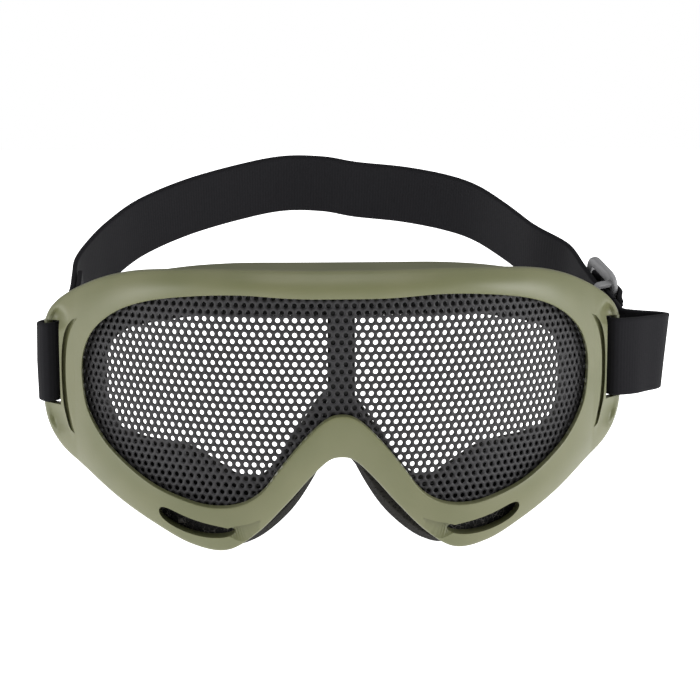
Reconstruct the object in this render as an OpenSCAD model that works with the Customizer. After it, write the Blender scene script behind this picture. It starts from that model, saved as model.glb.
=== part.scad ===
/* [Frame] */
// Width of the outline across the two strap ears, before their windows are cut
frame_w = 188; // [182:1:196]
// Height of the front, from the bottom of the lobes to the brow edge
frame_h = 85.1; // [80:0.1:90]
// Radius of the wrap that the lens and the front follow
lens_r = 110; // [106:1:118]
// How far the front rim stands in front of the lens
rim_proud = 3.6; // [3:0.1:4.4]
// Thickness of the wall behind the front
wall_t = 1.8; // [1.4:0.1:2]
// Depth of the wall at the brow and nose
brow_depth = 20; // [18:0.5:23]
// Depth of the wall at the temples
temple_depth = 12; // [11:0.5:14]
// How far the wall spreads out towards the face at the temples and below them
wall_flare = 2; // [1:0.1:2.4]
// How far the wall spreads out towards the face at the middle of the brow
brow_flare = 1.5; // [1:0.1:2]
// How far the wall draws in towards the face at the ends of the brow
brow_taper = 1.8; // [1.2:0.1:2.4]
// Thickness of the rear flange that carries the foam
flange_t = 2; // [1.5:0.1:3]

/* [Lens] */
// Thickness of the perforated steel sheet
lens_t = 0.5; // [0.4:0.05:0.8]
// How far the sheet runs under the rim
lens_lap = 2; // [1.5:0.1:2.2]
// Openings across the sheet, far fewer and larger than its real perforations
holes_across = 12; // [8:1:12]
// Share of their pitch that the openings take up
hole_share = 0.7; // [0.5:0.05:0.75]

/* [Retainer] */
// Thickness of the ring that holds the sheet in its rebate
retainer_t = 2.1; // [1.8:0.1:2.4]
// Width of the post between the eyes
post_w = 8; // [6:0.5:10]
// Depth of the post
post_d = 3.4; // [2.5:0.1:5]

/* [Face foam] */
// Thickness of the face foam
foam_t = 12; // [9:0.5:15]
// How far the foam stands out past the wall below the ears
foam_overhang = 1.8; // [0.4:0.1:2.2]
// How much further the foam stands out where the lobes turn up to the nose
nose_pad = 3.2; // [1:0.1:3.6]
// How far the foam stands back from the wall's edge at the brow
foam_inset = 1.2; // [0.6:0.1:2]
// Thickness of the adhesive film under the foam
film_t = 0.3; // [0.2:0.05:0.5]

/* [Vents and grooves] */
// Length of a lower vent
vent_l = 24.5; // [20:0.5:25]
// Height of a lower vent
vent_h = 5; // [4:0.1:5.4]
// Thickness of the filter foam behind a vent
filter_t = 5; // [3:0.5:7]
// Width of the groove beside each ear
groove_w = 1.3; // [0.8:0.1:1.6]
// Depth of the groove beside each ear
groove_d = 1.2; // [0.6:0.1:1.6]

/* [Ears] */
// Reach of an ear past the wall
ear_reach = 9.5; // [8.5:0.1:10]
// Diameter of the bar that carries the strap
bar_d = 2.8; // [2.4:0.1:3]
// Distance of the bar's centre from the tip of the ear
bar_inset = 2.7; // [2.4:0.1:3]
// Height of the strap's middle above the nose arch
ear_z = 23.2; // [21:0.1:24]

/* [Strap] */
// Width of the elastic webbing
strap_w = 25; // [20:0.5:26]
// Thickness of the elastic webbing
strap_t = 1.5; // [1.2:0.1:1.8]
// Room for the strap above and below in an ear window
window_play = 0.8; // [0.7:0.1:1.4]
// Angle at which the strap climbs behind the ears
strap_rise = 32.5; // [25:0.5:36]

/* [Slider] */
// Length of the slider along the strap
slider_l = 17; // [16:0.5:20]
// Height of the slider across the strap
slider_h = 35; // [33:0.5:40]
// Thickness of the slider's plate
slider_t = 2; // [1.6:0.1:2.6]
// Width of each of the slider's bars
slider_bar_w = 2.6; // [2:0.1:3]

/* [Hidden] */

olive = [0.50, 0.51, 0.38];
black = [0.13, 0.13, 0.13];
webbing_black = [0.16, 0.15, 0.16];
steel_black = [0.25, 0.25, 0.26];
slider_grey = [0.49, 0.49, 0.49];
thread_grey = [0.30, 0.30, 0.31];

// Gap between pieces that lie against each other on curved faces
fit_gap = 0.25;
// Gap between pieces that move
run_gap = 0.4;

// Half outline of the front, from the middle of the brow round to the top of the nose arch. Each
// station holds a point of the lens opening, of the outer edge and of the opening at the face, as
// [x, z] in millimetres on a front of 188 by 85.1.
drawn_w = 188;
drawn_h = 85.1;
stations = [
    [[0, 47.4], [0, 55.6], [0, 39]],
    [[14, 47.5], [15, 55.6], [14, 39.4]],
    [[30, 48.3], [32, 55.7], [30, 39.2]],
    [[45, 47.5], [48, 55.2], [44, 38.6]],
    [[58, 45.4], [63, 53.8], [56, 36.5]],
    [[67.7, 41.5], [76, 49.8], [65, 34]],
    [[75, 35.3], [88.3, 42.6], [70.5, 30]],
    [[78.6, 27.8], [93, 34.2], [73, 25]],
    [[79.2, 19.7], [94, 19.3], [73.6, 17]],
    [[77.6, 10.3], [92.8, 5.3], [73, 8]],
    [[72.5, 1.8], [87.7, -3.5], [69, 1]],
    [[66, -4.3], [78.2, -10.1], [61, -1.4]],
    [[58, -9.7], [67.9, -16.9], [53, -2]],
    [[50, -13], [56.8, -22.9], [45, -3.5]],
    [[40, -15.3], [45.3, -28], [37, -8]],
    [[31, -14.4], [34.6, -29.1], [30, -12]],
    [[24, -10.4], [25.5, -23.5], [23.5, -11.3]],
    [[18, -2.7], [16.6, -14.4], [17.5, -4]],
    [[11.5, 5.3], [9.5, -6.3], [11.5, 5]],
    [[5, 11.5], [4, -1.1], [5.5, 14]],
    [[0, 13.1], [0, 0], [0, 17.5]]
];
half_n = len(stations) - 1;
loop_n = 2 * half_n;
// Rings between two stations
span_steps = 2;

scale_x = frame_w / drawn_w;
scale_z = frame_h / drawn_h;
ear_tip_x = frame_w / 2;
wall_half_w = ear_tip_x - ear_reach;
bar_x = ear_tip_x - bar_inset;
bar_r = bar_d / 2;

// The front follows the wrap out past the lens and leaves it there on a straight line
lens_half_w = max([for (s = stations) s[0].x]) * scale_x;
wrap_x = lens_half_w + lens_lap + 0.8;
ear_slope = 0.83;

function sag_on(x, r, wrap) = abs(x) < wrap
    ? r - sqrt(r ^ 2 - x ^ 2)
    : r - sqrt(r ^ 2 - wrap ^ 2) + ear_slope * (abs(x) - wrap);
function sag(x) = sag_on(x, lens_r, wrap_x);
function depth(x) = brow_depth - (brow_depth - temple_depth) * min(1, abs(x) / wall_half_w) ^ 2;
function toward(a, b, d) = a + d * (b - a) / norm(b - a);
function on_front(p, y) = [p.x, sag(p.x) + y, p.y];
function on_back(p, y) = [p.x, sag(p.x) + depth(p.x) + y, p.y];

// A smooth curve through four values, between the second and the third
function curve(a, b, c, d, t) = 0.5 * (2 * b + (c - a) * t + (2 * a - 5 * b + 4 * c - d) * t ^ 2
    + (3 * b - a - 3 * c + d) * t ^ 3);

function station(i) =
    let (j = (i + loop_n) % loop_n, right = j <= half_n, s = stations[right ? j : loop_n - j])
    [for (p = s) [(right ? 1 : -1) * p.x * scale_x, p.y * scale_z]];

// The outer edge pulled in to the wall where the ears stand out from it
function wall_point(open, edge) =
    let (over = abs(edge.x) - wall_half_w)
    over <= 0 ? edge : edge + (open - edge) * over / (abs(edge.x) - abs(open.x));

rings = [for (i = [0:loop_n - 1], k = [0:span_steps - 1])
    let (
        t = k / span_steps,
        near = [for (n = [-1:2]) station(i + n)],
        s = [for (c = [0:2]) curve(near[0][c], near[1][c], near[2][c], near[3][c], t)]
    )
    [s[0], s[1], wall_point(s[0], s[1]), s[2]]];

// A solid ring whose sections are given one after another round a closed loop. Faces are split along
// one diagonal or, crossed, along the other, so that two rings that lie together are split alike.
module swept_ring(sections, crossed = false) {
    n = len(sections);
    m = len(sections[0]);
    polyhedron(
        [for (s = sections) each s],
        [for (i = [0:n - 1], j = [0:m - 1])
            let (
                a = i * m + j,
                b = i * m + (j + 1) % m,
                c = (i + 1) % n * m + (j + 1) % m,
                d = (i + 1) % n * m + j
            )
            each crossed ? [[a, b, d], [b, c, d]] : [[a, b, c], [a, c, d]]],
        convexity = 10
    );
}

// The outline of the lens opening, grown by a margin
function opening(grow) = [for (r = rings) toward(r[0], r[1], grow)];

// Everything between two surfaces that lie y0 and y1 behind the front of the lens
module wrap_shell(y0, y1) {
    difference() {
        translate([0, lens_r, -frame_h]) cylinder(h = 3 * frame_h, r = lens_r - y0, $fn = 200);
        translate([0, lens_r, -frame_h - 1]) cylinder(h = 3 * frame_h + 2, r = lens_r - y1, $fn = 200);
        translate([-2 * lens_r, lens_r - 20, -frame_h - 2]) cube([4 * lens_r, 2 * lens_r, 3 * frame_h + 4]);
    }
}

// An outline in x and z, made into a prism along y
module prism_y(y0, y1) {
    translate([0, y1, 0]) rotate([90, 0, 0]) linear_extrude(y1 - y0) children();
}

// The rear flange runs straight from the wall to the face opening, and the film and the foam lie along
// it. A point on it is given by its distance from the wall's outer edge and from the flange's back.
lip_inset = 0.8;
brow_end_x = 62 * scale_x;

function brow_spread(x) = brow_flare - (brow_flare + brow_taper) * min(1, abs(x) / brow_end_x) ^ 3;
function spread(p) =
    let (t = min(1, max(0, (p.y - ear_z) / (stations[0][0].y * scale_z - ear_z))))
    wall_flare * (1 - t) + brow_spread(p.x) * t;
function seat_ends(r) = [on_back(toward(r[2], r[0], lip_inset - spread(r[2])), 0), on_back(r[3], 0)];
function seat_width(r) = let (e = seat_ends(r)) norm(e[1] - e[0]);
function seat(r, from_edge, y) = let (e = seat_ends(r)) toward(e[0], e[1], from_edge) + [0, y, 0];

// Frame shell
rebate_y = fit_gap + lens_t + fit_gap + retainer_t;
rim_inset = 1;

function frame_section(r) =
    let (open = r[0], edge = r[1], root = toward(r[2], open, lip_inset))
    [
        on_front(open, -rim_proud + 1.1),
        on_front(toward(open, edge, 0.8), -rim_proud + 0.2),
        on_front(toward(open, edge, 2.2), -rim_proud),
        on_front(toward(edge, open, 3), -0.9),
        on_front(toward(edge, open, 0.8), 0.2),
        on_front(edge, 1.6),
        on_front(toward(edge, open, 0.3), rebate_y),
        on_front(root, rebate_y + 0.4),
        seat(r, 0, 0),
        seat(r, seat_width(r) - rim_inset, 0),
        seat(r, seat_width(r) - rim_inset, -flange_t),
        seat(r, wall_t, -flange_t),
        on_front(toward(root, open, wall_t), rebate_y),
        on_front(toward(open, edge, lens_lap + fit_gap), rebate_y),
        on_front(toward(open, edge, lens_lap + fit_gap), -fit_gap),
        on_front(open, -fit_gap)
    ];

bar_back = 1.7;
bar_y = sag(bar_x) + bar_back;
window_h = strap_w + 2 * window_play;
loop_gap = 2.9;
window_x = bar_x - loop_gap - strap_t / 2 - run_gap;

module ear_window() {
    translate([window_x, bar_y - 12, ear_z - window_h / 2]) cube([20, 24, window_h]);
}

module ear_bar() {
    bar_seat = 1;
    translate([bar_x, bar_y, ear_z - window_h / 2 - bar_seat])
        cylinder(h = window_h + 2 * bar_seat, r = bar_r, $fn = 32);
}

// A vent leans along the lobe and bows down, pointed towards the nose and blunt at its outer end
vent_at = [43 * scale_x, -21 * scale_z];
vent_lean = 12;
vent_bow = 2;
// The vent opens through the front and stops short of the flange behind it
vent_back_y = sag(vent_at.x + vent_l / 2) + rebate_y + 0.8;

module vent_outline(length, height) {
    translate(vent_at) rotate(vent_lean) polygon([for (a = [0:9:351])
        let (
            u = cos(a),
            half = height / 2 * sqrt((1 - ((1 - u) / 2) ^ 4) * (1 - max(u, 0) ^ 6))
        )
        [length / 2 * u, sign(sin(a)) * half - vent_bow * (1 - u ^ 2)]]);
}

groove_points = [[80.4, 38.5], [83, 34], [84.5, 28], [85, 20], [84.6, 12], [83.6, 6], [82.4, 1.5]];

module groove_outline() {
    left = [for (p = groove_points) [p.x * scale_x, p.y * scale_z]];
    right = [for (i = [len(left) - 2:-1:1]) left[i] + [groove_w, 0]];
    polygon(concat(left, right));
}

module frame_body() {
    difference() {
        swept_ring([for (r = rings) frame_section(r)]);
        for (side = [0, 1]) mirror([side, 0, 0]) {
            ear_window();
            prism_y(-rim_proud - 1, vent_back_y) vent_outline(vent_l, vent_h);
            intersection() {
                prism_y(0, lens_r) groove_outline();
                translate([0, groove_d, 0]) groove_band();
            }
        }
    }
}

// A band along the outer face of the front beside an ear, from which the groove is taken
module groove_band() {
    lift = 1;
    x0 = wrap_x - 2;
    x1 = ear_tip_x;
    front = [[x0, sag(x0) - lift], [x1, sag(x1) - lift]];
    back = [[x1, front[1].y - 8], [x0, front[0].y - 8]];
    translate([0, 0, -frame_h]) linear_extrude(3 * frame_h) polygon(concat(front, back));
}

module frame_shell() {
    color(olive) {
        frame_body();
        for (side = [0, 1]) mirror([side, 0, 0]) ear_bar();
    }
}

// Lens. The real sheet has thousands of holes 1.5 wide, 2.5 apart in staggered rows. Fewer and larger
// ones stand for them here, in the same pattern, wherever a whole one clears the rim.
hole_pitch = 2 * lens_half_w / holes_across;
hole_r = hole_share * hole_pitch / 2;
hole_rim = 0.8;
row_pitch = hole_pitch * sin(60);
row_z = 17 * scale_z;

function is_inside(p, outline) =
    let (
        n = len(outline),
        crossed = [for (i = [0:n - 1])
            let (a = outline[i], b = outline[(i + 1) % n])
            if ((a.y > p.y) != (b.y > p.y) && p.x < a.x + (b.x - a.x) * (p.y - a.y) / (b.y - a.y)) i]
    )
    len(crossed) % 2 == 1;
function clears_rim(p) =
    let (reach = hole_r + hole_rim, edge = opening(0))
    len([for (a = [0:30:330]) if (!is_inside(p + reach * [cos(a), sin(a)], edge)) a]) == 0;

module lens_holes() {
    for (row = [-3:3], column = [-holes_across:holes_across]) {
        middle = [(column + (row % 2 == 0 ? 0 : 0.5)) * hole_pitch, row_z + row * row_pitch];
        if (clears_rim(middle)) translate(middle) circle(r = hole_r, $fn = 32);
    }
}

module mesh_lens() {
    color(steel_black) intersection() {
        prism_y(-1, lens_r) difference() {
            polygon(opening(lens_lap));
            lens_holes();
        }
        wrap_shell(0, lens_t);
    }
}

// Retainer with the post between the eyes. It stands inside the rim's edge by its lip.
retainer_lip = 0.4;

function behind_lens(p, y) = [p.x, lens_r - sqrt((lens_r - lens_t) ^ 2 - p.x ^ 2) + fit_gap + y, p.y];

module lens_retainer() {
    post_top = stations[0][0].y * scale_z + lens_lap / 2;
    post_foot = stations[half_n][0].y * scale_z - lens_lap / 2;
    color(black) {
        swept_ring([for (r = rings)
            let (a = toward(r[0], r[1], -retainer_lip), b = toward(r[0], r[1], lens_lap))
            [behind_lens(a, 0), behind_lens(b, 0), behind_lens(b, retainer_t), behind_lens(a, retainer_t)]]);
        translate([-post_w / 2, lens_t + 1.5 * fit_gap, post_foot])
            cube([post_w, post_d, post_top - post_foot]);
    }
}

// Face foam and the film that holds it
film_inset = 0.5;

module foam_adhesive() {
    color(thread_grey) swept_ring(
        [for (r = rings)
            let (outer = film_inset, inner = seat_width(r) - rim_inset - film_inset)
            [for (c = [[inner, 0], [outer, 0], [outer, film_t], [inner, film_t]])
                seat(r, c[0], fit_gap + c[1])]],
        crossed = true
    );
}

// The foam's outer edge runs inside the wall at the brow and past it beside the nose
nose_pad_x = 21 * scale_x;
nose_pad_reach = 15;

function foam_step(p) =
    let (
        t = min(1, max(0, p.y / ear_z)),
        pad = nose_pad * max(0, 1 - ((abs(p.x) - nose_pad_x) / nose_pad_reach) ^ 2)
    )
    foam_inset * t - (foam_overhang + pad) * (1 - t);

module face_foam() {
    foot = film_t + 2 * fit_gap;
    round_r = foam_t / 4;
    color(black) swept_ring([for (r = rings)
        let (
            outer = foam_step(r[1]),
            inner = seat_width(r),
            half = [[0.6, 0], [0, round_r], [0, foam_t - round_r], [0.4 * round_r, foam_t - 0.3 * round_r],
                [1.4 * round_r, foam_t]]
        )
        concat(
            [for (c = half) seat(r, outer + c[0], foot + c[1])],
            [for (i = [len(half) - 1:-1:0]) seat(r, inner - half[i][0], foot + half[i][1])]
        )]);
}

// Filter foam behind the lower vents, larger than they are and cut to fit beside the wall
module vent_filter(side) {
    larger = [5, 2.6];
    y0 = rebate_y + fit_gap;
    beside_wall = [for (r = rings) toward(toward(r[2], r[0], lip_inset), r[0], wall_t + run_gap)];
    color(black) mirror([side, 0, 0]) intersection() {
        prism_y(0, lens_r) intersection() {
            vent_outline(vent_l + larger.x, vent_h + larger.y);
            polygon(beside_wall);
        }
        wrap_shell(y0, y0 + filter_t);
    }
}

module vent_filter_left() {
    vent_filter(1);
}

module vent_filter_right() {
    vent_filter(0);
}

// Strap. Its route is a line in plan, [x, y], and its height follows from how far it is behind the ears.
rise_start = 54;
rise_end = 66;
rise_y = (rise_start + rise_end) / 2;
layer_step = strap_t + run_gap;

function climb(y) = y < rise_start ? 0
    : y < rise_end ? tan(strap_rise) * (y - rise_start) ^ 2 / (2 * (rise_end - rise_start))
    : tan(strap_rise) * (y - rise_y);
function lean(y) = y < rise_start ? 0
    : y < rise_end ? atan(tan(strap_rise) * (y - rise_start) / (rise_end - rise_start))
    : strap_rise;

in_x = bar_x - loop_gap;
out_x = bar_x + loop_gap;

// The strap is drawn behind bars at 91.3, on a lens of radius 110 that wraps out to 82, and the whole
// of it moves back with the bars.
drawn_bar_y = sag_on(91.3, 110, 82) + bar_back;
strap_shift = bar_y - drawn_bar_y;

// The straight stretch that carries the slider, in the plane of the raised strap
slider_at = [in_x + 1.2, 22];
slide_angle = -74;
slide_dir = [cos(slide_angle), sin(slide_angle)];
slide_out = [-sin(slide_angle), cos(slide_angle)];
slide_travel = 12;

function plan(p) = [p.x, rise_y + p.y * cos(strap_rise)];
function beside_slider(along, out) = plan(slider_at + along * slide_dir + out * slide_out);

loop_y = drawn_bar_y - bar_r - strap_t / 2 - 3;
turn_y = drawn_bar_y - 3.2;
free_end = slider_l / 2 + 3.7;
seam_x = 1.6 - in_x;

left_route = [
    [-in_x + 3.5, 84], [-in_x + 3.5, 76], [-in_x + 1.8, 66], [-in_x, 55], [-in_x, drawn_bar_y],
    [-in_x - 0.8, turn_y], [-bar_x, loop_y], [-out_x + 0.8, turn_y], [-out_x, drawn_bar_y],
    [-out_x + 1.3, 51.5], [-in_x - 2.9, 58.5], [-in_x + 0.3, 68], [seam_x, 76], [seam_x, 83]
];
back_points = [
    [-86.6, 90], [-83.4, 98], [-77.6, 107.6], [-67.5, 119], [-51, 129.6], [-31, 138], [-15, 142.4], [0, 142],
    [12, 138.9], [30, 136], [46, 131.3], [57, 125.5], [67, 115.5], [76, 104.2]
];
back_route = [for (p = back_points) [p.x * scale_x, p.y]];
right_route = [
    beside_slider(-slide_travel - slider_l / 2, 0), beside_slider(-slider_l / 2, 0), beside_slider(0, 0),
    beside_slider(slider_l / 2 + 0.5, 0), [in_x + 5, 67.5], [in_x + 3.4, 61.5], [in_x + 0.8, 54],
    [in_x, drawn_bar_y], [in_x + 0.8, turn_y], [bar_x, loop_y], [bar_x + 5.9, loop_y + 2],
    [bar_x + 12, loop_y + 6.2], [bar_x + 17.5, loop_y + 10.6], [bar_x + 19.4, loop_y + 14.6],
    [bar_x + 16.8, loop_y + 18.2], [bar_x + 10.2, loop_y + 20.6], [bar_x + 5.4, loop_y + 22.7],
    beside_slider(free_end + 3, layer_step), beside_slider(free_end, layer_step)
];

// Points along a route, with the ends carried straight on
function smooth(route, steps) =
    let (n = len(route), p = concat([2 * route[0] - route[1]], route, [2 * route[n - 1] - route[n - 2]]))
    concat(
        [for (i = [1:n - 1], k = [0:steps - 1]) curve(p[i - 1], p[i], p[i + 1], p[i + 2], k / steps)],
        [route[n - 1]]
    );

// A flat band along points [x, y, z], each with the direction across the band
module ribbon(points, across, width, thickness) {
    n = len(points);
    corners = [for (i = [0:n - 1])
        let (
            along = points[min(i + 1, n - 1)] - points[max(i - 1, 0)],
            w = across[i],
            out = cross(along, w) / norm(cross(along, w))
        )
        each [for (c = [[-1, -1], [1, -1], [1, 1], [-1, 1]])
            points[i] + c[0] * thickness / 2 * out + c[1] * width / 2 * w]];
    sides = [for (i = [0:n - 2], j = [0:3])
        let (a = 4 * i + j, b = 4 * i + (j + 1) % 4)
        each [[a, b + 4, a + 4], [a, b, b + 4]]];
    last = 4 * (n - 1);
    ends = [[2, 1, 0], [3, 2, 0], [last, last + 1, last + 2], [last, last + 2, last + 3]];
    polyhedron(corners, concat(sides, ends), convexity = 10);
}

module strap_webbing() {
    route = smooth(concat(left_route, back_route, right_route), 3);
    color(webbing_black) translate([0, strap_shift, 0]) ribbon(
        [for (p = route) [p.x, p.y, ear_z + climb(p.y)]],
        [for (p = route) [0, -sin(lean(p.y)), cos(lean(p.y))]],
        strap_w, strap_t
    );
}

// Puts a piece in the plane of the raised strap
module in_strap_plane(at, angle) {
    translate([0, rise_y + strap_shift, ear_z]) rotate([strap_rise, 0, 0])
        translate([at.x, at.y, 0]) rotate([0, 0, angle]) children();
}

// A box of stitching that lies on the webbing, y outwards
module bartack(length) {
    tack_t = 0.5;
    tack_lift = 0.1;
    thread = 0.9;
    selvage = 3;
    tack_w = strap_w - 2 * selvage;
    color(thread_grey) translate([0, strap_t / 2 + tack_lift, 0]) difference() {
        translate([0, 0, -tack_w / 2]) cube([length, tack_t, tack_w]);
        translate([thread, -tack_t, thread - tack_w / 2])
            cube([length - 2 * thread, 3 * tack_t, tack_w - 2 * thread]);
    }
}

// Where the seam behind the left ear begins, and its length
seam_start = 76.5;
tack_l = 7;

module left_bartack() {
    in_strap_plane([seam_x, (seam_start - rise_y) / cos(strap_rise)], 90) bartack(tack_l);
}

// Slider: a flat plate outside the webbing, with a keeper bar that passes under it. x runs towards the
// ear and y away from the head. The sewn end lifts the plate at the ear side, and the other side lies
// against the webbing.
plate_y = strap_t / 2 + 2 * run_gap + strap_t;
slider_tilt = 6.5;
slot_h = strap_w + 1.4;
corner_r = 5;
end_bar_x = (slider_l - slider_bar_w) / 2;
keeper_x = end_bar_x - 1.2;
keeper_y = -strap_t / 2 - run_gap;
keeper_t = 1.4;
post_gap = 0.3;
post_h = 1.8;

module slider_outline() {
    for (x = [-1, 1], z = [-1, 1]) translate([x * (slider_l / 2 - corner_r), z * (slider_h / 2 - corner_r)])
        circle(r = corner_r, $fn = 48);
    square([slider_l - 2 * corner_r, slider_h], center = true);
    square([slider_l, slider_h - 2 * corner_r], center = true);
}

module slider() {
    color(slider_grey) in_strap_plane(slider_at, slide_angle) {
        translate([end_bar_x, fold_y, 0]) rotate([0, 0, slider_tilt]) translate([-end_bar_x, 0, 0])
            prism_y(-slider_t / 2, slider_t / 2) difference() {
                slider_outline();
                square([slider_l - 2 * slider_bar_w, slot_h], center = true);
            }
        translate([keeper_x - slider_bar_w / 2, keeper_y - keeper_t, 0]) rotate([90, 0, 90])
            linear_extrude(slider_bar_w) difference() {
                keeper_h = slot_h + 2 * (post_gap + post_h);
                reach = fold_y - keeper_y + keeper_t;
                translate([0, -keeper_h / 2]) square([reach, keeper_h]);
                translate([keeper_t, -keeper_h / 2 + post_h]) square([reach, keeper_h - 2 * post_h]);
            }
    }
}

// The sewn end of the strap, folded round the slider's bar on the ear side
fold_leg = 5;
inner_leg = 3;
fold_r = slider_t / 2 + fit_gap + strap_t / 2;
fold_x = end_bar_x - slider_bar_w / 2 + 0.3;
fold_y = plate_y + slider_t / 2;

module strap_fold() {
    turn = [for (a = [90:22.5:270]) [fold_x + fold_r * cos(a), fold_y + fold_r * sin(a)]];
    path = concat(
        [[slider_l / 2 + fold_leg, 2 * layer_step], [slider_l / 2 + fold_leg / 2, 2 * layer_step + 0.7]],
        [[slider_l / 2, fold_y + fold_r]],
        turn,
        [[slider_l / 2 + inner_leg, layer_step]]
    );
    color(webbing_black) in_strap_plane(slider_at, slide_angle)
        ribbon([for (p = path) [p.x, p.y, 0]], [for (p = path) [0, 0, 1]], strap_w, strap_t);
}

module fold_bartack() {
    in_strap_plane(slider_at, slide_angle)
        translate([slider_l / 2 + fold_leg / 2, 2 * layer_step + 0.7, 0]) rotate([0, 0, -13]) bartack(2.5);
}

frame_shell();
mesh_lens();
lens_retainer();
face_foam();
foam_adhesive();
vent_filter_left();
vent_filter_right();
strap_webbing();
left_bartack();
slider();
strap_fold();
fold_bartack();
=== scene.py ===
import math

import bmesh
import bpy
from mathutils import Matrix, Vector
from mathutils.geometry import intersect_point_line


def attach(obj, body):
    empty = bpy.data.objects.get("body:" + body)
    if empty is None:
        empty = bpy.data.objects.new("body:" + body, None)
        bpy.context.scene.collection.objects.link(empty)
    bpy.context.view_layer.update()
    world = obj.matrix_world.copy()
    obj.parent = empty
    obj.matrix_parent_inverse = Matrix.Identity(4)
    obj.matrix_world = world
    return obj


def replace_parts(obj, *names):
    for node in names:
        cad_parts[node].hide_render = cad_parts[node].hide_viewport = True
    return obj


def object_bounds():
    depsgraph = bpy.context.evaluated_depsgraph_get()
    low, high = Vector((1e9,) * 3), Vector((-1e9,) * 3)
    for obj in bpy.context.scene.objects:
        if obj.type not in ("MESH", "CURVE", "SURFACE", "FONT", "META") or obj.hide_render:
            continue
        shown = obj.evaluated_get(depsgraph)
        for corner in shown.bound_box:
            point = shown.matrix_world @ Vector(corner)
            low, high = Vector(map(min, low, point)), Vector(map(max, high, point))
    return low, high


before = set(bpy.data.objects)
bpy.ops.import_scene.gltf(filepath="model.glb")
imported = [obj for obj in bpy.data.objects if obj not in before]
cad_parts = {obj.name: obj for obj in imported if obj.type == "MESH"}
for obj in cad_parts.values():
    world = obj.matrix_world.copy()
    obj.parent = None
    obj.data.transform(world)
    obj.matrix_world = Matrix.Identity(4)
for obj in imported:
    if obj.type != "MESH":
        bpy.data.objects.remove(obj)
cad_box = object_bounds()

# Lengths are in millimetres until a piece is finished, which brings it to metres
MM = 0.001

# Front: the wrap that it follows, its face and the walls behind it
LENS_R = 110
LENS_T = 0.5
LENS_LAP = 2
FIT_GAP = 0.25
RETAINER_T = 2.1
RETAINER_LIP = 0.4
POST_W = 8
POST_D = 3.4
POST_CUTS = 15
POST_SPREAD = 0.45
POST_SPREAD_H = 7
RIM_PROUD = 3.6
EDGE_PROUD = 0.7
CROWN = 0.35
WALL_T = 1.8
FLANGE_T = 2
BROW_DEPTH = 20
TEMPLE_DEPTH = 12
WALL_FLARE = 2
BROW_FLARE = 1.5
BROW_TAPER = 1.8
BROW_END_X = 62
LIP_INSET = 0.8
RIM_INSET = 1
REBATE_Y = FIT_GAP + LENS_T + FIT_GAP + RETAINER_T
WRAP_X = 82
EAR_SLOPE = 0.83
EAR_Z = 23.2
WALL_HALF_W = 84.5

# The front's face: the share of the way from the opening to the outer edge where its smooth part starts,
# how far short of that edge it stops, how tightly it turns there, and how near to the edge a dent fades out
FACE_START = 0.06
FACE_STEPS = 30
EDGE_BAND = 1
EDGE_TURN = 0.9
DENT_FADE = (0.6, 2.6)

# A rounded corner takes at most this share of each side beside it
CORNER_SHARE = 0.45
CORNER_STEPS = 4

# Foam on the face side and the film under it. The pad and the flare lead towards the nose.
FILM_T = 0.3
FILM_MARGIN = 0.5
FOAM_T = 12
FOAM_OVERHANG = 1.8
FOAM_INSET = 1.2
NOSE_PAD = 3.2
NOSE_PAD_X = 21
NOSE_PAD_REACH = 15
NOSE_FLARE = 3.7
ARCH_REACH = 23
LOBE_REACH = 20

# Half outline from the middle of the brow to the nose arch: lens opening, outer edge, face opening
STATIONS = [
    [(0, 47.4), (0, 55.6), (0, 39)],
    [(14, 47.5), (15, 55.6), (14, 39.4)],
    [(30, 48.3), (32, 55.7), (30, 39.2)],
    [(45, 47.5), (48, 55.2), (44, 38.6)],
    [(58, 45.4), (63, 53.8), (56, 36.5)],
    [(67.7, 41.5), (76, 49.8), (65, 34)],
    [(75, 35.3), (88.3, 42.6), (70.5, 30)],
    [(78.6, 27.8), (93, 34.2), (73, 25)],
    [(79.2, 19.7), (94, 19.3), (73.6, 17)],
    [(77.6, 10.3), (92.8, 5.3), (73, 8)],
    [(72.5, 1.8), (87.7, -3.5), (69, 1)],
    [(66, -4.3), (78.2, -10.1), (61, -1.4)],
    [(58, -9.7), (67.9, -16.9), (53, -2)],
    [(50, -13), (56.8, -22.9), (45, -3.5)],
    [(40, -15.3), (45.3, -28), (37, -8)],
    [(31, -14.4), (34.6, -29.1), (30, -12)],
    [(24, -10.4), (25.5, -23.5), (23.5, -11.3)],
    [(18, -2.7), (16.6, -14.4), (17.5, -4)],
    [(11.5, 5.3), (9.5, -6.3), (11.5, 5)],
    [(5, 11.5), (4, -1.1), (5.5, 14)],
    [(0, 13.1), (0, 0), (0, 17.5)],
]
HALF = len(STATIONS) - 1
LOOP = 2 * HALF
RINGS_PER_STATION = 10

# Ears: the bars, and the windows that the strap passes through
BAR_X = 91.3
BAR_R = 1.4
BAR_BACK = 1.7
BAR_ROOT = 0.8
BAR_ROWS = 24
BAR_SIDES = 32
WINDOW_H = 26.6
WINDOW_X = 87.25
WINDOW_REACH = 20
WINDOW_FRONT = 34
WINDOW_BACK = 58

# The plate of each ear lies lower than the rim. It starts at the groove and fades out at its foot and top.
PLATE_DROP = 0.7
PLATE_FADE = 1.8
PLATE_FOOT = (-3, 5)
PLATE_TOP = (34, 41)
# Hollows above and below an ear's window: middle, radius and depth
HOLLOWS = (((87.6, 37.8), 4.2, 2.6), ((88, 5), 5.5, 1.6))

# Vents and the filters behind them
VENT_AT = (43.3, -20.2)
VENT_LEAN = 12
VENT_BOW = 2
VENT_L = 23.8
VENT_H = 5
VENT_SIDES = 72
FILTER_T = 5
FILTER_LAP_L = 5
FILTER_LAP_H = 2.6

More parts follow.
